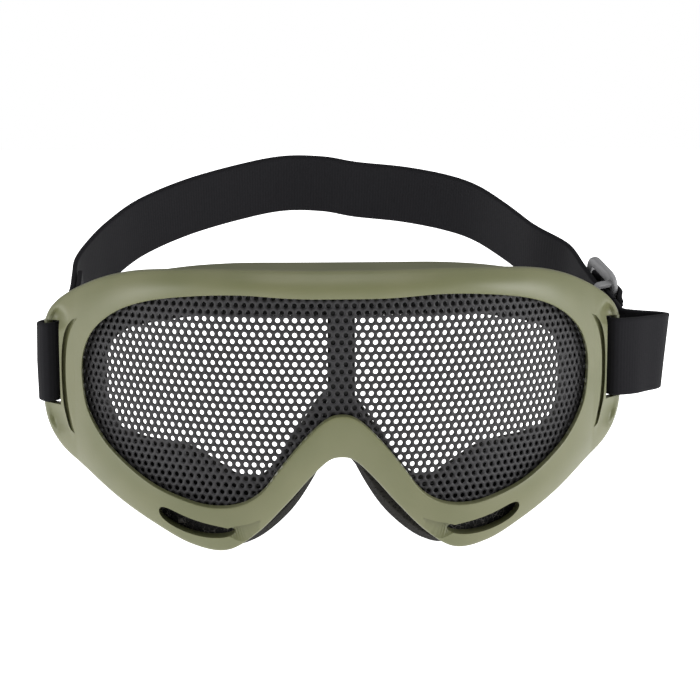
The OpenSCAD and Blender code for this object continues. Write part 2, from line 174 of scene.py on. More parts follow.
# Carvings: a groove beside each ear, and a scoop whose crease runs from a vent's nose end up the lobe
CARVE_W = 0.08
CARVE_D = 0.03
CARVE_RISE = 6
CARVE_STEPS = 5
GROOVE = [(80.4, 38.5), (83, 34), (84.5, 28), (85, 20), (84.6, 12), (83.6, 6), (82.4, 1.5)]
GROOVE_W = 1.4
GROOVE_D = 2.85
GROOVE_FAR_SHARE = 0.9
SCOOP = [(35, -21.8), (31.5, -20.6), (27.6, -19.7), (24.2, -18.4)]
SCOOP_ACROSS = (-0.33, -0.94)
SCOOP_W = 5.6
SCOOP_D = 3

# Perforations of the lens, in rows that cover more than the opening
HOLE_R = 0.75
HOLE_SIDES = 12
HOLE_PITCH = 2.5
HOLE_MARGIN = 1.2
HOLE_ROWS = 18
HOLE_COLUMNS = 40
ROW_PITCH = HOLE_PITCH * math.sin(math.radians(60))
ROW_Z = 17

# Strap and slider
STRAP_W = 25
STRAP_T = 1.5
STRAP_RISE = math.radians(32.5)
RISE_START = 54
RISE_END = 66
RISE_Y = (RISE_START + RISE_END) / 2
RUN_GAP = 0.4
LAYER_STEP = STRAP_T + RUN_GAP
# The loops round the bars: half their width, and where the strap turns in front of a bar
LOOP_GAP = 2.9
LOOP_TURN = 3.2
LOOP_FRONT = 3
IN_X = BAR_X - LOOP_GAP
OUT_X = BAR_X + LOOP_GAP
# The strap fills the windows there, is crowned, and its free loop leans in at the foot
IN_EAR = (50, 60)
FREE_LOOP = (4, 16)
LOOP_SPREAD = 1.008
LOOP_CROWN = -0.3
LOOP_LEAN = 2.1
# Its top edge is turned in before the slider, between these places across and behind the frame
TWIST = 2.3
TWIST_X = (38, 78)
TWIST_Y = (94, 108)
SLIDER_AT = Vector((89.6, 22))
SLIDE_ANGLE = math.radians(-74)
SLIDE_DIR = Vector((math.cos(SLIDE_ANGLE), math.sin(SLIDE_ANGLE)))
SLIDE_OUT = Vector((-SLIDE_DIR.y, SLIDE_DIR.x))
SLIDE_TRAVEL = 12
SLIDER_L = 17
SLIDER_H = 35
SLIDER_T = 2
SLIDER_BAR_W = 2.6
SLIDER_TILT = math.radians(6.5)
SLOT_H = STRAP_W + 1.4
SLOT_R = 1
CORNER_R = 5
END_BAR_X = (SLIDER_L - SLIDER_BAR_W) / 2
KEEPER_X = END_BAR_X - 1.2
KEEPER_Y = -STRAP_T / 2 - RUN_GAP
KEEPER_T = 1.4
KEEPER_R = 1.2
KEEPER_TOP = 0.4
POST_GAP = 0.3
FOLD_Y = STRAP_T / 2 + 2 * RUN_GAP + STRAP_T + SLIDER_T / 2
FOLD_R = SLIDER_T / 2 + FIT_GAP + STRAP_T / 2
FOLD_X = END_BAR_X - SLIDER_BAR_W / 2 + 0.3
FOLD_LEG = 5
FOLD_OUT = 2 * LAYER_STEP + 0.7
INNER_LEG = 3
FREE_END = SLIDER_L / 2 + 3.7
# The webbing that stands up in the slot, along the strap and outwards
HUMP = [(-4.5, 2.15), (-3.6, 2.5), (-2.2, 3.4), (-0.6, 4), (0.9, 3.7), (2.1, 2.7), (2.8, 2.1)]

# Seams
SEAM_X = 1.6 - IN_X
SEAM_START = 76.5
TACK_L = 7
FOLD_TACK_L = 2.5
FOLD_TACK_TURN = math.radians(-13)
TACK_W = STRAP_W - 6
STITCH_L = 2.1
STITCH_SHARE = 0.42
THREAD_R = 0.24

# Vertices closer than this are one, in a grown mesh and in the lens
MERGE = 1e-4
LENS_MERGE = 0.02

# The photograph's view
CAMERA_LENS = 77.07
CAMERA_SENSOR = 36
CAMERA_AT = Vector((-20.69, -432.60, 95.47))
CAMERA_AHEAD = Vector((0.05282, 0.98809, -0.14453))
CAMERA_UP = Vector((0.00772, 0.14432, 0.98950))
CAMERA_RIGHT = Vector((0.99857, -0.05338, 0))
CAMERA_ROLL = math.radians(0.11)

# The studio, in metres: its floor, the share of the surround's light in front and behind, and the lamps, each
# with its name, place, aim, size and power
FLOOR_HALF = 40
FLOOR_DROP = 0.0018
FLOOR_GLOW = 1.15
END_GLOW = 0.22
LAMPS = (
    ("left", (-0.95, -0.3, 0.12), (0, 0.03, 0.02), (0.5, 0.4), 4),
    ("right", (0.95, -0.3, 0.12), (0, 0.03, 0.02), (0.5, 0.4), 6),
    ("above", (0, -0.55, 0.85), (0, 0.03, 0.03), (0.7, 0.4), 3),
)


class Value:
    """A shader socket on which Python's sums add Math nodes."""

    def __init__(self, finish, socket):
        self.finish = finish
        self.socket = socket

    def maths(self, operation, *terms):
        return self.finish.node("ShaderNodeMath", {"operation": operation}, dict(enumerate(terms)))

    def __add__(self, other):
        return self.maths("ADD", self, other)

    def __radd__(self, other):
        return self.maths("ADD", other, self)

    def __sub__(self, other):
        return self.maths("SUBTRACT", self, other)

    def __rsub__(self, other):
        return self.maths("SUBTRACT", other, self)

    def __mul__(self, other):
        return self.maths("MULTIPLY", self, other)

    def __rmul__(self, other):
        return self.maths("MULTIPLY", other, self)

    def sine(self):
        return self.maths("SINE", self)

    def size(self):
        return self.maths("ABSOLUTE", self)

    def ramp(self, low, high):
        """0 below low, 1 above high, smooth between them."""
        settings = {"interpolation_type": "SMOOTHSTEP"}
        inputs = {"Value": self, "From Min": low, "From Max": high}
        return self.finish.node("ShaderNodeMapRange", settings, inputs)


class Finish:
    """A material that is being made. node() adds any node and returns one of its outputs."""

    def __init__(self, name, colour, roughness, **fixed):
        self.material = bpy.data.materials.new(name)
        self.material.use_nodes = True
        self.tree = self.material.node_tree
        self.shader = self.tree.nodes["Principled BSDF"]
        self.set("Base Color", (*colour, 1))
        self.set("Roughness", roughness)
        for socket, value in fixed.items():
            self.set(socket.replace("_", " "), value)

    def set(self, socket, value):
        if isinstance(value, Value):
            self.tree.links.new(value.socket, self.shader.inputs[socket])
        else:
            self.shader.inputs[socket].default_value = value

    def node(self, kind, settings=(), inputs=(), output=0):
        made = self.tree.nodes.new(kind)
        for key, value in dict(settings).items():
            setattr(made, key, value)
        for key, value in dict(inputs).items():
            if isinstance(value, Value):
                self.tree.links.new(value.socket, made.inputs[key])
            else:
                made.inputs[key].default_value = value
        return Value(self, made.outputs[output])

    def place(self):
        return self.node("ShaderNodeTexCoord", output="Object")

    def uv(self):
        """Distance along a strip and across it, in millimetres."""
        both = self.node("ShaderNodeUVMap", {"uv_map": "strip"})
        parts = self.tree.nodes.new("ShaderNodeSeparateXYZ")
        self.tree.links.new(both.socket, parts.inputs[0])
        return Value(self, parts.outputs["X"]), Value(self, parts.outputs["Y"])

    def noise(self, size, detail=3):
        """Noise whose lumps are about `size` millimetres across."""
        inputs = {"Vector": self.place(), "Scale": 1 / (size * MM), "Detail": detail}
        return self.node("ShaderNodeTexNoise", inputs=inputs)

    def cells(self, size, feature="F1"):
        """Distance within cells of about `size` millimetres."""
        inputs = {"Vector": self.place(), "Scale": 1 / (size * MM)}
        return self.node("ShaderNodeTexVoronoi", {"feature": feature}, inputs, "Distance")

    def mix(self, share, first, second):
        """Two colours mixed. A Mix node takes colours in its sockets 6 and 7, and gives one out at 2."""
        made = self.tree.nodes.new("ShaderNodeMix")
        made.data_type = "RGBA"
        for key, value in ((0, share), (6, first), (7, second)):
            if isinstance(value, Value):
                self.tree.links.new(value.socket, made.inputs[key])
            else:
                made.inputs[key].default_value = (*value, 1) if isinstance(value, tuple) else value
        return Value(self, made.outputs[2])

    def relief(self, height, depth):
        """Bumps as deep as `depth` millimetres where height goes from 0 to 1."""
        inputs = {"Height": height, "Distance": depth * MM, "Strength": 1}
        self.set("Normal", self.node("ShaderNodeBump", inputs=inputs))


def olive_plastic():
    finish = Finish("olive_plastic", (0.104, 0.108, 0.05), 0.4, Specular_IOR_Level=0.35)
    clouds = finish.noise(26, 2).ramp(0.35, 0.65)
    finish.set("Base Color", finish.mix(clouds, (0.097, 0.102, 0.047), (0.113, 0.115, 0.057)))
    finish.set("Roughness", 0.33 + 0.1 * finish.noise(9, 4))
    finish.relief(finish.noise(0.55, 3), 0.014)
    return finish.material


def painted_steel():
    finish = Finish("painted_steel", (0.015, 0.015, 0.016), 0.45, Specular_IOR_Level=0.25)
    wear = finish.noise(14, 3)
    finish.set("Base Color", finish.mix(wear, (0.01, 0.0095, 0.0105), (0.022, 0.021, 0.023)))
    finish.set("Roughness", 0.38 + 0.16 * finish.noise(1.2, 3))
    finish.relief(finish.noise(0.3, 2), 0.01)
    return finish.material


def black_plastic():
    finish = Finish("black_plastic", (0.009, 0.009, 0.009), 0.6, Specular_IOR_Level=0.2)
    finish.set("Roughness", 0.5 + 0.2 * finish.noise(3, 3))
    finish.relief(finish.noise(0.4, 3), 0.02)
    return finish.material


def open_foam(name, pore, colour):
    """Foam whose cut face shows its cells, with painted shade darkening each pore."""
    finish = Finish(name, colour, 0.95, Specular_IOR_Level=0.1, Sheen_Weight=0.04, Sheen_Roughness=0.5)
    pores = finish.cells(pore).ramp(0.15, 0.55)
    clumps = finish.noise(5, 2)
    # The middle of each pore is darkened to about a third of the foam's colour, which is painted shade inside
    # the pores. The clumps vary the tone at random.
    pore_shade = tuple(0.35 * c for c in colour)
    finish.set("Base Color", finish.mix(pores * (0.7 + 0.3 * clumps), pore_shade, colour))
    finish.relief(pores + 0.5 * finish.noise(0.7 * pore, 2), 0.16)
    return finish.material


def strand_foam():
    """Open foam of fine strands round large cells. The cells are painted near black as shade, and the strands
    are painted lighter in patches as highlights.
    """
    finish = Finish("filter_foam_strands", (0.01, 0.01, 0.009), 0.8, Specular_IOR_Level=0.2)
    strands = 1 - finish.cells(1.6, "DISTANCE_TO_EDGE").ramp(0.02, 0.1)
    glint_patches = finish.noise(4, 2).ramp(0.4, 0.62)
    # Painted shade and highlight: the cells between the strands get near black, and the strands in random
    # patches get a lighter grey where they would catch light.
    finish.set("Base Color", finish.mix(strands * glint_patches, (0.004, 0.004, 0.004), (0.09, 0.085, 0.08)))
    finish.relief(strands, 0.4)
    return finish.material


def woven_elastic():
    """Ribs across the strip, crossed by finer yarns along it, with a plain edge on both sides."""
    rib = 1.05
    yarn = 0.62
    selvedge = (STRAP_W / 2 - 1.5, STRAP_W / 2 - 1)
    finish = Finish("woven_elastic", (0.013, 0.013, 0.015), 0.85, Specular_IOR_Level=0.1, Sheen_Weight=0.02)
    along, across = finish.uv()
    yarns = (across * (2 * math.pi / yarn)).sine()
    shifted = along * (2 * math.pi / rib) + yarns * 0.6
    ribs = shifted.sine() * 0.5 + 0.5
    edge = across.size().ramp(*selvedge)
    weave = ribs * (1 - 0.6 * edge) * (0.75 + 0.25 * yarns)
    fuzz = finish.noise(0.5, 3)
    light = weave * 0.6 + fuzz * 0.4
    finish.set("Base Color", finish.mix(light, (0.005, 0.005, 0.006), (0.01, 0.0095, 0.0115)))
    finish.set("Roughness", 0.75 + 0.2 * fuzz)
    finish.relief(weave + 0.35 * fuzz, 0.022)
    return finish.material


def sewing_thread():
    """Twisted thread."""
    finish = Finish("sewing_thread", (0.02, 0.02, 0.022), 0.6, Specular_IOR_Level=0.3, Sheen_Weight=0.05)
    finish.set("Base Color", finish.mix(finish.noise(0.3, 2), (0.014, 0.014, 0.016), (0.032, 0.032, 0.034)))
    finish.relief(finish.noise(0.18, 2), 0.05)
    return finish.material


def grey_plastic():
    finish = Finish("grey_plastic", (0.16, 0.16, 0.165), 0.45)
    finish.set("Base Color", finish.mix(finish.noise(8, 3), (0.145, 0.145, 0.15), (0.18, 0.18, 0.184)))
    finish.set("Roughness", 0.38 + 0.14 * finish.noise(2, 3))
    finish.relief(finish.noise(0.5, 3), 0.012)
    return finish.material


def pale_floor():
    """A light table, which glows evenly."""
    finish = Finish("pale_floor", (0.97, 0.97, 0.97), 1, Specular_IOR_Level=0)
    finish.set("Emission Color", (1, 1, 1, 1))
    finish.set("Emission Strength", FLOOR_GLOW)
    return finish.material


def adhesive_film():
    finish = Finish("adhesive_film", (0.03, 0.03, 0.03), 0.6, Specular_IOR_Level=0.3)
    finish.set("Roughness", 0.5 + 0.2 * finish.noise(4, 2))
    finish.relief(finish.noise(1.5, 2), 0.03)
    return finish.material


OLIVE = olive_plastic()
STEEL = painted_steel()
BLACK = black_plastic()
FACE_FOAM = open_foam("face_foam_cells", 0.9, (0.02, 0.019, 0.017))
FILTER_FOAM = strand_foam()
WEBBING = woven_elastic()
THREAD = sewing_thread()
GREY = grey_plastic()
FILM = adhesive_film()


def curve(a, b, c, d, t):
    """A smooth curve through four points, between the second and the third."""
    return 0.5 * (2 * b + (c - a) * t + (2 * a - 5 * b + 4 * c - d) * t**2 + (3 * b - a - 3 * c + d) * t**3)


def toward(a, b, distance):
    return a + (b - a).normalized() * distance


def sag(x):
    """How far the wrap lies behind its middle: an arc as far as the ears, then straight."""
    x = abs(x)
    if x < WRAP_X:
        return LENS_R - math.sqrt(LENS_R**2 - x**2)
    return LENS_R - math.sqrt(LENS_R**2 - WRAP_X**2) + EAR_SLOPE * (x - WRAP_X)


BAR_Y = sag(BAR_X) + BAR_BACK


def depth(x):
    """How far the flange lies behind the wrap."""
    return BROW_DEPTH - (BROW_DEPTH - TEMPLE_DEPTH) * min(1, abs(x) / WALL_HALF_W) ** 2


def on_front(p, y):
    return Vector((p.x, sag(p.x) + y, p.y))


def behind_lens(p, y):
    arc = math.sqrt((LENS_R - LENS_T) ** 2 - p.x**2)
    return Vector((p.x, LENS_R - arc + FIT_GAP + y, p.y))


def station(i):
    i %= LOOP
    side = 1 if i <= HALF else -1
    return [Vector((side * x, z)) for x, z in STATIONS[i if i <= HALF else LOOP - i]]


class Ring:
    """One cross section of the front: its points, and what rests on it."""

    def __init__(self, position):
        i = math.floor(position)
        t = position - i
        near = [station(i + k) for k in (-1, 0, 1, 2)]
        self.open, self.edge, self.face = (curve(*(s[c] for s in near), t) for c in range(3))
        over = abs(self.edge.x) - WALL_HALF_W
        self.wall = self.edge.copy()
        if over > 0:
            self.wall += (self.open - self.edge) * over / (abs(self.edge.x) - abs(self.open.x))
        self.root = toward(self.wall, self.open, LIP_INSET)
        self.seat_outer = self.on_back(toward(self.wall, self.open, LIP_INSET - self.spread()))
        self.seat_inner = self.on_back(self.face)
        self.seat_w = (self.seat_inner - self.seat_outer).length

    @staticmethod
    def on_back(p):
        return Vector((p.x, sag(p.x) + depth(p.x), p.y))

    def spread(self):
        """How far the wall's back leans out."""
        brow = BROW_FLARE - (BROW_FLARE + BROW_TAPER) * min(1, abs(self.wall.x) / BROW_END_X) ** 3
        t = min(1, max(0, (self.wall.y - EAR_Z) / (STATIONS[0][0][1] - EAR_Z)))
        return WALL_FLARE * (1 - t) + brow * t

    def seat(self, from_edge, y):
        return toward(self.seat_outer, self.seat_inner, from_edge) + Vector((0, y, 0))


def rounded(points, radii, steps=CORNER_STEPS):
    """A closed section whose corners are rounded, each to its radius."""
    rows = []
    n = len(points)
    for i, (p, r) in enumerate(zip(points, radii)):
        if not r:
            rows.append(p)
            continue
        before, after = points[i - 1], points[(i + 1) % n]
        a = toward(p, before, min(r, CORNER_SHARE * (before - p).length))
        b = toward(p, after, min(r, CORNER_SHARE * (after - p).length))
        rows += [a.lerp(p, k / steps).lerp(p.lerp(b, k / steps), k / steps) for k in range(steps + 1)]
    return rows


def grow(bm, sides, steps, place, closed):
    """Fills an empty mesh with a loop of `sides` vertices, extruded step by step. place(step, side) puts each
    vertex."""
    side_of = bm.verts.layers.int.new("side")
    step_of = bm.verts.layers.int.new("step")
    start = bmesh.ops.create_circle(bm, segments=sides, radius=1)["verts"]
    for side, v in enumerate(start):
        v[side_of] = side
        v.co = place(0, side)
    edges = bm.edges[:]
    ends = [edges]
    for step in range(1, steps + (1 if closed else 0)):
        made = bmesh.ops.extrude_edge_only(bm, edges=edges)["geom"]
        new = {g for g in made if isinstance(g, bmesh.types.BMVert)}
        for v in new:
            v[step_of] = step
            v.co = place(step % steps, v[side_of])
        edges = [g for g in made if isinstance(g, bmesh.types.BMEdge) and set(g.verts) <= new]
    if closed:
        bmesh.ops.remove_doubles(bm, verts=bm.verts, dist=MERGE)
    else:
        for rim in (ends[0], edges):
            bmesh.ops.contextual_create(bm, geom=rim)
    bmesh.ops.recalc_face_normals(bm, faces=bm.faces)
    return side_of, step_of


def ring_of(sections):
    """A mesh of closed sections, joined round from the last to the first."""
    bm = bmesh.new()
    grow(bm, len(sections), len(sections[0]), lambda step, side: sections[side][step], True)
    return bm


def mesh_from(name, bm):
    mesh = bpy.data.meshes.new(name)
    bm.to_mesh(mesh)
    bm.free()
    return mesh


def placed(name, data):
    """An object for a mesh, a lamp or a camera, in the scene."""
    made = bpy.data.objects.new(name, data)
    bpy.context.scene.collection.objects.link(made)
    return made


def finished(name, bm, materials, body, smooth=35):
    """Turns a mesh in millimetres into a piece in metres that rides on its body. Edges sharper than `smooth`
    degrees stay sharp."""
    mesh = mesh_from(name, bm)
    mesh.transform(Matrix.Scale(MM, 4))
    for material in materials if isinstance(materials, tuple) else (materials,):
        mesh.materials.append(material)
    mesh.shade_smooth()
    mesh.set_sharp_from_angle(angle=math.radians(smooth))
    piece = placed(name, mesh)
    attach(piece, body)
    return piece


def cut(bm, cutter, operation="DIFFERENCE"):
    """Cuts one mesh with another, or joins them, and frees the cutter."""
    meshes = []
    for name, source in (("whole", bm), ("cutter", cutter)):
        mesh = bpy.data.meshes.new(name)
        source.to_mesh(mesh)
        mesh.materials.append(OLIVE)
        mesh.materials.append(BLACK)
        meshes.append(mesh)
    whole, tool = (placed(m.name, m) for m in meshes)
    step = whole.modifiers.new("cut", "BOOLEAN")
    step.operation = operation
    step.object = tool
    step.solver = "EXACT"
    bpy.context.view_layer.update()
    result = whole.evaluated_get(bpy.context.evaluated_depsgraph_get()).to_mesh()
    bm.clear()
    bm.from_mesh(result)
    whole.to_mesh_clear()
    for o, m in zip((whole, tool), meshes):
        bpy.data.objects.remove(o)
        bpy.data.meshes.remove(m)
    cutter.free()


RINGS = [Ring(k / RINGS_PER_STATION) for k in range(LOOP * RINGS_PER_STATION)]


def opening(margin):
    return [toward(r.open, r.edge, margin) for r in RINGS]


def block(low, high):
    """A box between two corners."""
    bm = bmesh.new()
    bmesh.ops.create_cube(bm, size=1)
    low, high = Vector(low), Vector(high)
    for v in bm.verts:
        v.co = (low + high) / 2 + Vector(c * s for c, s in zip(v.co, high - low))
    return bm


def prism(outline, y0, y1):
    """An outline in x and z, extruded along y."""
    def place(step, side):
        return Vector((outline[side].x, (y0, y1)[step], outline[side].y))

    bm = bmesh.new()
    grow(bm, len(outline), 2, place, False)
    return bm


def mirrored(bm):
    """The same mesh on the other side."""
    other = bm.copy()
    bmesh.ops.scale(other, vec=(-1, 1, 1), verts=other.verts)
    bmesh.ops.recalc_face_normals(other, faces=other.faces)
    return other


def vent_outline(length, height):
    """A leaf that leans along the lobe and bows down, blunt at its outer end."""
    lean = Matrix.Rotation(math.radians(VENT_LEAN), 2)
    points = []
    for k in range(VENT_SIDES):
        a = 2 * math.pi * k / VENT_SIDES
        u = math.cos(a)
        half = height / 2 * math.sqrt((1 - ((1 - u) / 2) ** 4) * (1 - max(u, 0) ** 6))
        across = math.copysign(half, math.sin(a)) - VENT_BOW * (1 - u**2)
        points.append(lean @ Vector((length / 2 * u, across)) + Vector(VENT_AT))
    return points


def smooth_step(low, high, value):
    t = min(1, max(0, (value - low) / (high - low)))
    return t * t * (3 - 2 * t)


def drawn_line(points, steps):
    """A smooth line through points, with its ends carried straight on."""
    route = [Vector(p) for p in points]
    route = [2 * route[0] - route[1]] + route + [2 * route[-1] - route[-2]]
    drawn = [curve(*route[i:i + 4], k / steps) for i in range(len(route) - 3) for k in range(steps)]
    return drawn + [route[-2]]


GROOVE_LINE = drawn_line(GROOVE, CARVE_STEPS)


def ear_dent(p):
    """How far the front is pressed in at a point of it beside the ears."""
    p = Vector((abs(p.x), p.y))
    if p.x < GROOVE[-1][0]:
        return 0
    past = p.x - nearest(p, GROOVE_LINE, closed=False).x
    dent = PLATE_DROP * smooth_step(0, PLATE_FADE, past)
    dent *= smooth_step(*PLATE_FOOT, p.y)
    dent *= 1 - smooth_step(*PLATE_TOP, p.y)
    for middle, reach, deep in HOLLOWS:
        dent += deep * max(0, 1 - (p - Vector(middle)).length_squared / reach**2) ** 2
    return dent


def front_y(t):
    """Where the front's face stands before the wrap, a share t of the way to its edge."""
    return -RIM_PROUD + (RIM_PROUD - EDGE_PROUD) * t**2 - CROWN * math.sin(math.pi * t)


def front_section(r):
    """The frame's closed section at one ring with its corners rounded, and where its black inside starts."""
    back_inner = r.seat_w - RIM_INSET
    rebate = toward(r.open, r.edge, LENS_LAP + FIT_GAP)
    lip = on_front(r.open, -RIM_PROUD)
    turn = on_front(toward(r.edge, r.open, 0.1), -0.5)
    width = (r.edge - r.open).length
    last = 1 - EDGE_BAND / width
    band = []
    for k in range(FACE_STEPS + 1):
        t = FACE_START + (last - FACE_START) * k / FACE_STEPS
        p = r.open.lerp(r.edge, t)
        band.append(on_front(p, front_y(t) + ear_dent(p) * smooth_step(*DENT_FADE, (1 - t) * width)))
    # Corners and their radii
    outer = [
        (on_front(r.open, -FIT_GAP), 0), (lip, 0.6), *((p, 0) for p in band), (turn, EDGE_TURN),
        (on_front(r.edge, REBATE_Y - 0.1), 0.35), (on_front(r.root, REBATE_Y + 0.4), 0.6),
        (r.seat(0, 0), 0.6),
    ]
    inner = [
        (r.seat(back_inner, 0), 0.5), (r.seat(back_inner, -FLANGE_T), 0.5), (r.seat(WALL_T, -FLANGE_T), 0.8),
        (on_front(toward(r.root, r.open, WALL_T), REBATE_Y), 0.3),
        (on_front(rebate, REBATE_Y), 0), (on_front(rebate, -FIT_GAP), 0),
    ]
    corners = outer + inner
    black_from = sum(CORNER_STEPS + 1 if radius else 1 for _, radius in outer)
    return rounded([p for p, _ in corners], [radius for _, radius in corners]), black_from


def on_face(p):
    """A point of the front's face over p, found from the rings on either side of it."""
    best = None
    for r in RINGS:
        q, t = intersect_point_line(p, r.open, r.edge)
        miss = (Vector(q) - p).length
        if 0 <= t <= 1 and (best is None or miss < best[0]):
            best = (miss, front_y(t))
    return best[1] + sag(p.x)


def carving(line, across, widths, deep, far_share=0.0):
    """A cutter along a line, as deep as told there, and by a share of that on its far side."""
    corners = []
    for p, width, here in zip(line, widths, deep):
        far = p + across * width
        low = on_face(p) + ear_dent(p)
        far_low = on_face(far) + ear_dent(far)
        above = low - CARVE_RISE
        corners.append([Vector((p.x, above, p.y)), Vector((far.x, above, far.y)),
                        Vector((far.x, far_low + far_share * here, far.y)), Vector((p.x, low + here, p.y))])
    bm = bmesh.new()
    grow(bm, 4, len(line), lambda step, side: corners[step][side], False)
    return bm


def groove_carving():
    """The groove beside an ear, wider near its ends than in its middle."""
    n = len(GROOVE_LINE) - 1
    ends = [math.sin(math.pi * k / n) for k in range(n + 1)]
    widths = [CARVE_W + GROOVE_W * (2.3 - 1.2 * e) * e**0.4 for e in ends]
    deep = [CARVE_D + GROOVE_D * e**0.4 for e in ends]
    return carving(GROOVE_LINE, Vector((1, 0)), widths, deep, GROOVE_FAR_SHARE)


def scoop_carving():
    """The scoop that leads from the nose side of a vent up the lobe."""
    line = drawn_line(SCOOP, CARVE_STEPS)
    n = len(line) - 1
    share = [1 - k / n for k in range(n + 1)]
    widths = [CARVE_W + SCOOP_W * math.sin(math.pi * 0.94 * t) ** 0.8 for t in share]
    deep = [CARVE_D + SCOOP_D * t**0.5 for t in share]
    return carving(line, Vector(SCOOP_ACROSS), widths, deep)


def drop_flaps(bm):
    """Takes away the slivers that a cut leaves as two faces back to back."""
    bmesh.ops.triangulate(bm, faces=[f for f in bm.faces if len(f.verts) > 3])
    same = {}
    for face in bm.faces:
        same.setdefault(frozenset(face.verts), []).append(face)
    flaps = [face for faces in same.values() if len(faces) > 1 for face in faces]
    bmesh.ops.delete(bm, geom=flaps, context="FACES")


def frame_shell():
    """The moulded frame, olive outside and black inside, with its vents, windows and carvings cut."""
    made = [front_section(r) for r in RINGS]
    sections = [section for section, _ in made]
    black_from = made[0][1]
    bm = ring_of(sections)
    step_of = bm.verts.layers.int["step"]
    for face in bm.faces:
        face.material_index = int(min(v[step_of] for v in face.verts) >= black_from)
    # A vent's cutter runs from before the rim to just behind the rebate at the vent's outer end
    vent_back = sag(VENT_AT[0] + VENT_L / 2) + REBATE_Y + 0.8
    vent = prism(vent_outline(VENT_L, VENT_H), -RIM_PROUD - 1, vent_back)
    low = (WINDOW_X, WINDOW_FRONT, EAR_Z - WINDOW_H / 2)
    high = (WINDOW_X + WINDOW_REACH, WINDOW_BACK, EAR_Z + WINDOW_H / 2)
    for tool in (groove_carving(), scoop_carving(), vent, block(low, high)):
        cut(bm, mirrored(tool))
        cut(bm, tool)
    drop_flaps(bm)
    shell = finished("moulded_frame", bm, (OLIVE, BLACK), "goggles", 28)
    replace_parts(shell, "frame_shell")


def ear_bars():
    """A bar across each ear window, drawn in where it runs into the ear."""
    length = WINDOW_H + 2 * BAR_ROOT
    for name, side in (("ear_bar_left", -1), ("ear_bar_right", 1)):
        def place(step, turn):
            z = length * (step / (BAR_ROWS - 1) - 0.5)
            radius = BAR_R * (1 - 0.5 * smooth_step(WINDOW_H / 2 - 0.6, WINDOW_H / 2 + BAR_ROOT, abs(z)))
            angle = 2 * math.pi * turn / BAR_SIDES
            at = Vector((side * BAR_X, BAR_Y, EAR_Z + z))
            return at + radius * Vector((math.cos(angle), math.sin(angle), 0))

        bm = bmesh.new()
        grow(bm, BAR_SIDES, BAR_ROWS, place, False)
        finished(name, bm, OLIVE, "goggles")


def inside(p, outline):
    """Whether a closed outline holds a point."""
    hit = False
    for a, b in zip(outline, outline[1:] + outline[:1]):
        if (a.y > p.y) != (b.y > p.y) and p.x < a.x + (b.x - a.x) * (p.y - a.y) / (b.y - a.y):
            hit = not hit
    return hit


def nearest(p, outline, closed=True):
    """The outline's nearest point to p."""
    best = None
    for a, b in zip(outline, outline[1:] + (outline[:1] if closed else [])):
        q, t = intersect_point_line(p, a, b)
        q = Vector(a.lerp(b, min(1, max(0, t))))
        if best is None or (q - p).length < (best - p).length:
            best = q
    return best


def hole_cell():
    """One hole and the sheet round it out to its six neighbours."""
    bm = bmesh.new()
    bmesh.ops.create_circle(bm, segments=HOLE_SIDES, radius=HOLE_R)
    made = bmesh.ops.extrude_edge_only(bm, edges=bm.edges[:])["geom"]
    for v in (g for g in made if isinstance(g, bmesh.types.BMVert)):
        # The outer vertices lie on a hexagon, at its corners and in the middle of its sides
        turn = round(math.degrees(math.atan2(v.co.y, v.co.x)) / 30)
        reach = HOLE_PITCH / 2 if turn % 2 == 0 else HOLE_PITCH / math.sqrt(3)
        v.co = Vector((math.cos(turn * math.pi / 6), math.sin(turn * math.pi / 6), 0)) * reach
    return mesh_from("hole_cell", bm)


def mesh_lens():
    """The perforated sheet. It is laid out flat, bent to the wrap, and pulled in to its border."""
    field = opening(HOLE_MARGIN)
    border = opening(LENS_LAP)
    cell = hole_cell()
    bm = bmesh.new()
    for row in range(-HOLE_ROWS, HOLE_ROWS):
        for column in range(-HOLE_COLUMNS, HOLE_COLUMNS + 1):
            arc = (column + (0.5 if row % 2 else 0)) * HOLE_PITCH
            middle = Vector((arc, ROW_Z + row * ROW_PITCH))
            if inside(Vector((LENS_R * math.sin(arc / LENS_R), middle.y)), field):
                count = len(bm.verts)
                bm.from_mesh(cell)
                bm.verts.ensure_lookup_table()
                bmesh.ops.translate(bm, vec=(middle.x, middle.y, 0), verts=bm.verts[count:])
    bpy.data.meshes.remove(cell)
    bmesh.ops.remove_doubles(bm, verts=bm.verts, dist=LENS_MERGE)
    for v in bm.verts:
        angle = v.co.x / LENS_R
        flat = Vector((LENS_R * math.sin(angle), v.co.y))
        if v.is_boundary and not inside(flat, border):
            flat = nearest(flat, border)
        v.co = (flat.x, sag(flat.x), flat.y)
    bmesh.ops.recalc_face_normals(bm, faces=bm.faces)
    if sum(f.normal.y for f in bm.faces) > 0:
        bmesh.ops.reverse_faces(bm, faces=bm.faces)
    lens = finished("perforated_lens", bm, STEEL, "goggles")
    sheet = lens.modifiers.new("sheet", "SOLIDIFY")
    sheet.thickness = LENS_T * MM
    sheet.offset = -1
    sheet.use_even_offset = True
    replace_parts(lens, "mesh_lens")


